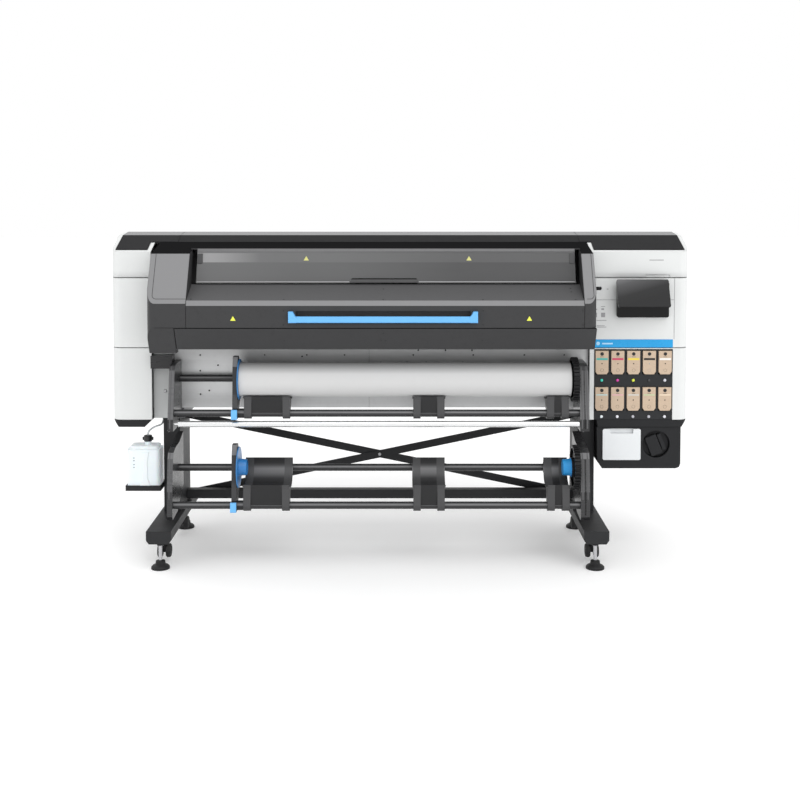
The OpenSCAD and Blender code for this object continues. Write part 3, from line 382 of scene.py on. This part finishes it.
def smoked_with_painted_sheen():
    """The window: smoke tint, slight streaks from wiping, and painted reflections: paler towards the left, a
    painted band of light near the top left, and a paler top edge.
    """
    t = Tree("window_smoke")
    streaks = t.noise(1.0, 5.0, 0.6, t.stretched((3, 40, 14)))
    # Painted reflection: the tint is paler towards the left side of the window.
    side = t.add("ShaderNodeMapRange", {"Value": t.axis(0), "From Min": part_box("hood_window")[0].x,
                                        "From Max": 0.25}).outputs[0]
    tint = t.mix(side, (0.27, 0.272, 0.275, 1), (0.115, 0.116, 0.118, 1))
    tint = t.mix(t.math("MULTIPLY", streaks, 0.25), tint, (0.2, 0.2, 0.205, 1))
    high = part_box("hood_window")[1].z
    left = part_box("hood_window")[0].x
    # Painted highlight: a band of light near the top, strongest at the left.
    fade = t.add("ShaderNodeMapRange", {"Value": t.axis(0), "From Min": left + 0.28,
                                        "From Max": left + 0.06}).outputs[0]
    painted_shine = t.math("MULTIPLY", between(t, 2, high - 0.052, high - 0.012), t.spread(fade, 0.12, 1.0))
    tint = t.mix(painted_shine, tint, (0.5, 0.5, 0.505, 1))
    # Painted highlight: the top edge is paler.
    top = t.add("ShaderNodeMapRange", {"Value": t.axis(2), "From Min": high - 0.012,
                                       "From Max": high}).outputs[0]
    tint = t.mix(t.math("MULTIPLY", top, 0.5), tint, (0.42, 0.42, 0.425, 1))
    t.put(t.bsdf.inputs["Base Color"], tint)
    t.put(t.bsdf.inputs["Roughness"], t.spread(streaks, 0.05, 0.14))
    t.bsdf.inputs["Transmission Weight"].default_value = 0.45
    t.bsdf.inputs["Specular IOR Level"].default_value = 0.3
    t.bsdf.inputs["IOR"].default_value = 1.3
    b = t.add("ShaderNodeBump", {"Strength": 0.03, "Distance": 0.0005, "Height": t.noise(60.0)})
    t.put(t.bsdf.inputs["Normal"], b.outputs[0])
    return t.mat


MATS["window_smoke"] = smoked_with_painted_sheen()


def paint(obj, mat):
    obj.data.materials.clear()
    obj.data.materials.append(mat)


for name, obj in nodes.items():
    paint(obj, OWN.get(name) or MATS[slot_of[name]])


# ---------------------------------------------------------------- pieces
def skin(name, color, rough=0.45, **kw):
    return surface(name, color, rough, **kw)


EXTRA = {
    "warning_yellow": skin("warning_yellow", (0.78, 0.82, 0.08), 0.5, bump=0.05, edge=0, dust=0.0),
    "screw_black": skin("screw_black", (0.006, 0.006, 0.007), 0.4, bump=0.1, edge=0.0006, dust=0.0),
    "screw_zinc": skin("screw_zinc", (0.4, 0.4, 0.41), 0.35, metal=1.0, bump=0.08, edge=0.0006),
    "seam_and_shadow_black": skin("seam_and_shadow_black", (0.008, 0.008, 0.008), 0.8, bump=0.02, edge=0, dust=0.0, **DULL),
    "edge_grey": skin("edge_grey", (0.3, 0.3, 0.305), 0.3, bump=0.05, edge=0.001, dust=0.0),
    "latch_grey": skin("latch_grey", (0.07, 0.07, 0.072), 0.4, bump=0.1, edge=0.001, dust=0.0, **DULL),
    "print_grey": skin("print_grey", (0.33, 0.33, 0.34), 0.6, bump=0.02, edge=0, dust=0.0),
    "inner_white": skin("inner_white", (0.5, 0.51, 0.51), 0.45, grain=1400, bump=0.12, mottle=0.02,
                        edge=0.003, dust=0.0,
                        Specular_IOR_Level=0.3),
    "warning_pale": skin("warning_pale", (0.62, 0.60, 0.22), 0.5, bump=0.1, edge=0, dust=0.0, **DULL),
    "ridge_highlight_grey": skin("ridge_highlight_grey", (0.1, 0.1, 0.103), 0.4, bump=0.15, edge=0.001, dust=0.0, **DULL),
    "trim_grey": skin("trim_grey", (0.16, 0.16, 0.163), 0.35, bump=0.05, edge=0, dust=0.0, **DULL),
    "banner_print": skin("banner_print", (0.4, 0.68, 0.9), 0.5, bump=0.02, edge=0, dust=0.0),
}
TINTS = [("teal", (0.07, 0.42, 0.38)), ("magenta", (0.55, 0.05, 0.12)), ("yellow", (0.8, 0.62, 0.08)),
         ("black", (0.012, 0.01, 0.01)), ("white", (0.82, 0.8, 0.77)), ("light_cyan", (0.45, 0.72, 0.76)),
         ("light_pink", (0.76, 0.4, 0.48)), ("pale_grey", (0.62, 0.66, 0.66)), ("pale_green", (0.48, 0.62,
         0.36)),
         ("cream", (0.85, 0.72, 0.55))]
LAMPS = [(0.02, 0.55, 0.42), (0.6, 0.03, 0.33), (0.68, 0.75, 0.05), (0.02, 0.02, 0.024), (0.62, 0.62, 0.68),
         (0.8, 0.87, 0.9), (0.82, 0.82, 0.88), (0.45, 0.45, 0.5), (0.45, 0.45, 0.5), (0.7, 0.7, 0.75)]
for tint, color in TINTS:
    EXTRA["ink_" + tint] = skin("ink_" + tint, color, 0.5, bump=0.04, mottle=0.06, edge=0, dust=0.0)


def prism(axis, a, b, pts):
    """A straight solid along `axis` from a to b; pts are in the other two axes, in order."""
    others = [i for i in range(3) if i != axis]

    def add(bm):
        rings = []
        for at in (a, b):
            ring = []
            for p in pts:
                co = [0.0, 0.0, 0.0]
                co[axis] = at
                co[others[0]], co[others[1]] = p
                ring.append(bm.verts.new(co))
            rings.append(ring)
        skin_rings(bm, rings)
    return add


def skin_rings(bm, rings):
    n = len(rings[0])
    for one, two in zip(rings, rings[1:]):
        for i in range(n):
            bm.faces.new((one[i], one[(i + 1) % n], two[(i + 1) % n], two[i]))
    bm.faces.new(rings[0][::-1])
    bm.faces.new(rings[-1])


def patch(origin, up, pts, low, high):
    """A thin solid on a leaning face: pts are (along X, up the face), from `low` to `high` off the face."""
    up = Vector((0, up[0], up[1])).normalized()
    out = Vector((0, -up.z, up.y))

    def add(bm):
        rings = []
        for h in (low, high):
            rings.append([bm.verts.new(Vector(origin) + Vector((u, 0, 0)) + up * v + out * h) for u,
                          v in pts])
        skin_rings(bm, rings)
    return add


def turned(start, end, profile, n=20):
    """A solid of revolution round the line start-end; profile is (share along the line, radius)."""
    start, end = Vector(start), Vector(end)
    line = end - start
    side = line.orthogonal().normalized()
    other = line.normalized().cross(side)

    def add(bm):
        rings = []
        for at, r in profile:
            mid = start + line * at
            rings.append([bm.verts.new(mid + r * (math.cos(k * math.tau / n) * side
                                                  + math.sin(k * math.tau / n) * other))
                          for k in range(n)])
        skin_rings(bm, rings)
    return add


def wire(points, r, n=6):
    """A thin round bead along points."""
    pts = [Vector(p) for p in points]

    def add(bm):
        rings = []
        for i, p in enumerate(pts):
            way = (pts[min(i + 1, len(pts) - 1)] - pts[max(i - 1, 0)]).normalized()
            side = way.cross(Vector((0.2, 0.9, 0.4))).normalized()
            other = way.cross(side)
            rings.append([bm.verts.new(p + r * (math.cos(k * math.tau / n) * side
                                                + math.sin(k * math.tau / n) * other))
                          for k in range(n)])
        skin_rings(bm, rings)
    return add


def build(name, body, mat, shapes, bevel=0.0, smooth=True):
    bm = bmesh.new()
    for shape in shapes:
        shape(bm)
    bmesh.ops.recalc_face_normals(bm, faces=bm.faces)
    mesh = bpy.data.meshes.new(name)
    bm.to_mesh(mesh)
    bm.free()
    obj = bpy.data.objects.new(name, mesh)
    scene.collection.objects.link(obj)
    paint(obj, mat)
    if bevel:
        mod = obj.modifiers.new("bevel", "BEVEL")
        mod.width = bevel
        mod.segments = 3
        mod.limit_method = "ANGLE"
        mod.angle_limit = math.radians(35)
    if smooth:
        for p in mesh.polygons:
            p.use_smooth = True
        mod = obj.modifiers.new("weighted", "WEIGHTED_NORMAL")
        mod.keep_sharp = True
    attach(obj, body)
    return obj


def block(x0, x1, y0, y1, z0, z1):
    return prism(0, x0, x1, [(y0, z0), (y1, z0), (y1, z1), (y0, z1)])


def circle(cx, cy, r, n=20):
    return [(cx + r * math.cos(k * math.tau / n), cy + r * math.sin(k * math.tau / n)) for k in range(n)]


def triangle(cx, cy, w):
    h = w * 0.87
    return [(cx - w / 2, cy - h / 2), (cx + w / 2, cy - h / 2), (cx, cy + h / 2)]


band_lo, band_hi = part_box("hood_band")
frame_lo, frame_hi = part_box("hood_frame")
win_lo, win_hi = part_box("hood_window")
plate_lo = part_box("front_plates")[0]
fascia_lo, fascia_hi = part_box("lower_fascia")
NOSE = band_lo.y
# leaning faces of the hood: a point on each at X = 0, and the way up the face (y, z)
WINDOW = ((0, win_lo.y + 0.005, win_lo.z), (win_hi.y - 0.0047 - win_lo.y - 0.005, win_hi.z - win_lo.z))
FRONT = ((0, NOSE, band_lo.z), (0, 1))
CHIN = ((0, fascia_lo.y + 0.057, fascia_lo.z + 0.006), (-0.057, fascia_hi.z - fascia_lo.z - 0.006))
APRON = ((0, NOSE + 0.008, 1.163), (0.130, 0.059))
SLOPE = ((0, NOSE, 1.15), (0.117, 0.207))


def hood_details():
    yellow = EXTRA["warning_yellow"]
    build("window_marks", "window", EXTRA["warning_pale"],
          [patch(*WINDOW, triangle(x, 0.114, 0.023), *STICKER) for x in (-0.413, 0.304)])
    build("band_marks", "hood", yellow,
          [patch(*FRONT, triangle(x, 0.041, 0.023), *STICKER) for x in (-0.714, 0.553)])
    dots = [patch(*FRONT, circle(x, z, 0.0035), *DOT) for x in (-0.498, 0.355, 0.782) for z in (0.013, 0.074)]
    dots += [patch(*APRON, circle(x, v, 0.0035), *DOT) for x, v in
             ((-0.896, 0.012), (-0.498, 0.008), (-0.0718, 0.008), (0.355, 0.008), (0.752, 0.008), (-0.0718,
             0.1),
              (0.742, 0.105), (0.742, 0.075))]
    build("hood_screws", "hood", EXTRA["screw_black"], dots)
    dots = [patch(*CHIN, circle(x, v, 0.0035), *DOT) for x, v in
            ((-0.498, 0.042), (0.355, 0.042), (-0.082, 0.042), (-0.062, 0.042), (-0.0718, 0.082))]
    build("fascia_screws", "machine", EXTRA["screw_black"], dots)
    x0, x1 = win_lo.x + 0.004, win_hi.x - 0.004
    build("window_edge", "window", EXTRA["edge_grey"],
          [patch(*WINDOW, [(a, 0.004), (b, 0.004), (b, 0.008), (a, 0.008)], 0.0040, 0.0062)
           for a, b in ((x0, -0.222), (0.082, x1))], bevel=0.0006)
    build("window_grip", "window", EXTRA["latch_grey"],
          [patch(*WINDOW, [(-0.22, 0.0015), (0.08, 0.0015), (0.074, 0.0165), (-0.214, 0.0165)], 0.004,
                 0.0085)], bevel=0.0015)
    # Painted shadow: a dark strip under the grip's lip.
    build("window_grip_shadow", "window", EXTRA["seam_and_shadow_black"],
          [patch(*WINDOW, [(-0.214, 0.0165), (0.074, 0.0165), (0.071, 0.0215), (-0.211, 0.0215)], -0.0005,
                 0.0075)])
    build("window_latches", "window", EXTRA["latch_grey"],
          [patch(*WINDOW, [(a, 0.09), (a + 0.024, 0.09), (a + 0.024, 0.135), (a, 0.135)], 0.0002, 0.004)
           for a in (x0 - 0.003, x1 - 0.021)], bevel=0.002)
    y = SLOPE[0][1]
    up = Vector((0, *SLOPE[1])).normalized()
    out = Vector((0, -up.z, up.y)) * 0.0002

    def on_slope(u, v):
        return Vector((u, y, SLOPE[0][2])) + up * v + out

    def seam(x_out, x_in):
        turn = [on_slope(x_out + math.copysign(0.018, x_in - x_out) * (1 - math.cos(a)),
                         0.04 - 0.018 * math.sin(a))
                for a in [k * math.pi / 12 for k in range(7)]]
        return [on_slope(x_out, 0.236)] + turn + [on_slope(x_in, 0.022)]
    build("hood_seams", "hood", EXTRA["seam_and_shadow_black"],
          [wire(seam(frame_lo.x + 0.024, band_lo.x - 0.002), 0.0009), wire(seam(frame_hi.x - 0.012,
          band_hi.x + 0.012), 0.0009),
           wire([(frame_lo.x + 0.036, NOSE, band_lo.z), (fascia_lo.x - 0.003, NOSE, band_lo.z)], 0.0009)])


hood_details()


def seams_and_ridges():
    """Seams between covers, pale ridges on the arms that are a painted highlight of their lit front edges, a
    trim above the window, the bottle's rib.
    """
    dark = EXTRA["seam_and_shadow_black"]
    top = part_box("top_covers")
    seam_x = -0.096
    crest_line = [(-0.066, 1.3985), (0.0, 1.4245), (0.11, 1.4352), (top[1].y - 0.004, 1.4145)]
    build("cover_seams", "machine", dark,
          [wire([(seam_x + s * 0.9102, y, z) for y, z in crest_line], 0.0014) for s in (-1, 1)])
    face_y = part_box("side_covers")[0].y
    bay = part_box("ink_bay")
    right = bay[1].x + 0.005
    build("panel_seams", "machine", EXTRA["print_grey"],
          [block(right - 0.001, right + 0.001, face_y - 0.0002, face_y + 0.0015, bay[1].z + 0.002, 1.239),
           block(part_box("chassis")[1].x, right, face_y - 0.0002, face_y + 0.0015, 1.143, 1.145)])
    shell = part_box("upper_shells")
    build("shell_mark", "machine", EXTRA["print_grey"],
          [patch((0, shell[0].y, 1.32), (0, 1), [(1.112, 0), (1.176, 0), (1.176, 0.0035), (1.112, 0.0035)],
                 *PRINT)])
    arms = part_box("reel_arms")
    up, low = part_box("supply_drive_disc"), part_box("takeup_drive_disc")
    upper = (up[0] + up[1]) / 2
    lower = (low[0] + low[1]) / 2
    front = [(upper.y - 0.0705, 0.60), (upper.y - 0.0705, 0.64), (upper.y - 0.0245, upper.z + 0.042),
             (upper.y - 0.008, upper.z + 0.0605)]
    foot = [(lower.y - 0.0605, 0.24), (lower.y - 0.0585, lower.z - 0.096), (lower.y - 0.0345,
            lower.z + 0.044),
            (lower.y - 0.0222, lower.z + 0.0685)]
    x_right = (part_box("reel_tubes")[1].x, arms[1].x)
    x_left = (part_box("tension_bar")[0].x - 0.001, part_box("reel_tubes")[0].x)
    ridges = []
    for x0, x1 in ((x_left[0] + 0.006, x_left[0] + 0.011), (x_right[0] + 0.006, x_right[0] + 0.012),
                   (x_right[1] - 0.012, x_right[1] - 0.006)):
        for line in (front, foot):
            ridges.append(prism(0, x0, x1, line + [(y + 0.004, z) for y, z in line[::-1]]))
    # The arm ridges are grey strips along the arms' front edges, painted pale as a painted highlight of the
    # lit edges.
    build("arm_ridges", "machine", EXTRA["ridge_highlight_grey"], ridges, bevel=0.001)
    build("window_trim", "window", EXTRA["trim_grey"],
          [patch(*WINDOW, [(win_lo.x, 0.146), (win_hi.x, 0.146), (win_hi.x, 0.1575), (win_lo.x, 0.1575)],
                 0.0001, 0.001)])
    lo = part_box("waste_bottle")[0]
    mid = lo.x + 0.082
    rib = [(mid - 0.018, lo.z + 0.172), (mid - 0.012, lo.z + 0.12), (mid - 0.013, lo.z + 0.05), (mid - 0.03,
            lo.z + 0.006),
           (mid + 0.03, lo.z + 0.006), (mid + 0.013, lo.z + 0.05), (mid + 0.012, lo.z + 0.12), (mid + 0.018,
           lo.z + 0.172)]
    build("bottle_rib", "machine", MATS["bottle_clear"], [prism(1, lo.y - 0.004,
            lo.y + 0.004, rib)], bevel=0.003)
    build("bottle_marks", "machine", EXTRA["print_grey"],
          [patch((lo.x + 0.032, lo.y, lo.z + 0.1), (0, 1), [(-0.003, v), (0.004, v), (0.004, v + 0.004),
                                                            (-0.003, v + 0.004)],
                 *PRINT) for v in (0.0, 0.012, 0.03, 0.042)])


seams_and_ridges()


def ink_details():
    for i in range(10):
        low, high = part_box(f"cartridge_{i + 1}")
        x = (low.x + high.x) / 2
        face = ((x, low.y, high.z), (0, 1))
        half = 0.025
        thick = 0.009 if i < 5 else 0.004
        mark = EXTRA["ink_black"] if i != 3 else EXTRA["print_grey"]
        build(f"cartridge_{i + 1}_band", f"cartridge_{i + 1}", EXTRA["ink_" + TINTS[i][0]],
              [patch(*face, [(-half, -0.032 - thick), (half, -0.032 - thick), (half, -0.032), (-half,
              -0.032)], -0.0001, 0.0005)])
        ring = [turned((x, low.y + 0.0005, high.z - 0.0135), (x, low.y - 0.0012, high.z - 0.0135),
                       [(0, 0.0078), (0.8, 0.0078), (1.0, 0.0070), (1.0, 0.0034), (0.5, 0.0030), (0.5,
                       0.0001)])]
        build(f"cartridge_{i + 1}_ring", f"cartridge_{i + 1}", EXTRA["screw_black"], ring)
        marks = [patch(*face, circle(0.0, -0.057, 0.0028, 10), *PRINT)]
        marks += [patch(*face, [(-0.008, -0.0275), (0.008, -0.0275), (0.008, -0.026), (-0.008, -0.026)],
                        *PRINT)]
        outer = circle(0.0, -0.087, 0.007, 24)
        marks += [wire([Vector(face[0]) + Vector((u, -0.0001, v)) for u, v in outer + outer[:1]], 0.0004)]
        build(f"cartridge_{i + 1}_marks", f"cartridge_{i + 1}", mark, marks)
        low_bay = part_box("ink_bay")[0]
        z = low.z - 0.028
        glow = skin(f"lamp_{i + 1}", LAMPS[i], 0.25, bump=0.02, edge=0, dust=0.0, coat=0.4)
        build(f"status_lamp_{i + 1}", "machine", glow,
              [turned((x, low_bay.y + 0.004, z), (x, low_bay.y - 0.0008, z), [(0, 0.0068), (0.45, 0.0068),
              (0.8, 0.0055), (1.0, 0.0025)])])


ink_details()


def panel_details():
    """Plain grey marks where the maker's printing would be, and a paler panel inside the left module."""
    face_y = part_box("side_covers")[0].y
    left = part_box("chassis")[1].x
    face = ((left, face_y, 1.0), (0, 1))
    marks = [patch(*face, [(u, v), (u + w, v), (u + w, v + h), (u, v + h)], *PRINT) for u, v, w, h in
             ((0.014, 0.066, 0.010, 0.020), (0.042, 0.066, 0.018, 0.020), (0.043, 0.098, 0.012, 0.008),
              (0.042, 0.112, 0.018, 0.003),
              (0.012, 0.098, 0.012, 0.006), (0.012, 0.052, 0.006, 0.006), (0.022, 0.050, 0.044, 0.003),
              (0.012, 0.024, 0.006, 0.006),
              (0.022, 0.026, 0.036, 0.003), (0.022, 0.020, 0.044, 0.003), (0.066, 0.190, 0.008, 0.004))]
    build("panel_marks", "machine", EXTRA["print_grey"], marks)
    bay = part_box("ink_bay")
    strip = ((bay[0].x, bay[0].y, bay[1].z), (0, 1))
    build("banner_marks", "machine", EXTRA["banner_print"],
          [patch(*strip, circle(0.016, -0.018, 0.008), *PRINT),
           patch(*strip, [(0.034, -0.022), (0.082, -0.022), (0.082, -0.015), (0.034, -0.015)], *PRINT)])
    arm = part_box("reel_arms")[0]
    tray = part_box("base_trays")
    x0, x1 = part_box("chassis")[0].x + 0.010, arm.x + 0.085
    build("inner_panel_left", "machine", EXTRA["inner_white"],
          [block(x0, x1, -0.138, -0.1335, tray[1].z + 0.002, 0.925)], bevel=0.002)
    build("inner_panel_screw", "machine", EXTRA["screw_zinc"],
          [turned((x0 + 0.052, -0.1375, 0.729), (x0 + 0.052, -0.141, 0.729), [(0, 0.008), (0.6, 0.008),
          (1.0, 0.006), (1.0, 0.0015)])])
    screws = [turned((x, plate_lo.y + 0.001, z), (x, plate_lo.y - 0.002, z), [(0, 0.004), (0.6, 0.004),
            (1.0, 0.0025)], 12)
              for x, z in ((-0.087, 0.857), (0.032, 0.857), (0.118, 0.857), (0.283, 0.857), (0.082, 0.9125),
                           (0.205, 0.9125),
                           (0.324, 0.9125), (-0.441, 0.885), (-0.82, 0.845), (-0.9, 0.82), (-0.86, 0.73))]
    build("plate_screws", "machine", EXTRA["screw_black"], screws)


panel_details()


# ---------------------------------------------------------------- stage
def studio():
    bm = bmesh.new()
    bmesh.ops.create_grid(bm, x_segments=2, y_segments=2, size=30)
    mesh = bpy.data.meshes.new("floor")
    bm.to_mesh(mesh)
    bm.free()
    floor = bpy.data.objects.new("floor", mesh)
    scene.collection.objects.link(floor)
    t = Tree("pale_floor")
    t.put(t.bsdf.inputs["Base Color"], t.mix(t.noise(1.5), (0.88, 0.88, 0.88, 1), (0.9, 0.9, 0.9, 1)))
    t.put(t.bsdf.inputs["Roughness"], t.spread(t.noise(6.0), 0.7, 0.85))
    t.bsdf.inputs["Emission Color"].default_value = (1, 1, 1, 1)
    t.bsdf.inputs["Emission Strength"].default_value = 0.15
    paint(floor, t.mat)
    world = bpy.data.worlds.new("studio")
    scene.world = world
    world.use_nodes = True
    world.node_tree.nodes["Background"].inputs[0].default_value = (1, 1, 1, 1)
    world.node_tree.nodes["Background"].inputs[1].default_value = 1.0
    for name, at, power, angle in (("key", (1.4, -3.2, 3.4), 0.9, 50), ("rear", (-2.0, 2.6, 4.0), 0.25, 60)):
        lamp = bpy.data.lights.new(name, "SUN")
        lamp.energy = power
        lamp.angle = math.radians(angle)
        o = bpy.data.objects.new(name, lamp)
        o.location = at
        o.rotation_euler = (-Vector(at)).to_track_quat("-Z", "Y").to_euler()
        scene.collection.objects.link(o)
    cam = bpy.data.cameras.new("camera")
    cam.sensor_width = 36
    cam.lens = 53.728
    cam.shift_y = -0.2
    cam.clip_end = 100
    o = bpy.data.objects.new("camera", cam)
    o.location = (0, -5.4787, 1.6672)
    o.rotation_euler = (math.radians(90 - 2.758), 0, 0)
    scene.collection.objects.link(o)
    scene.camera = o
    scene.view_settings.view_transform = "Standard"


studio()
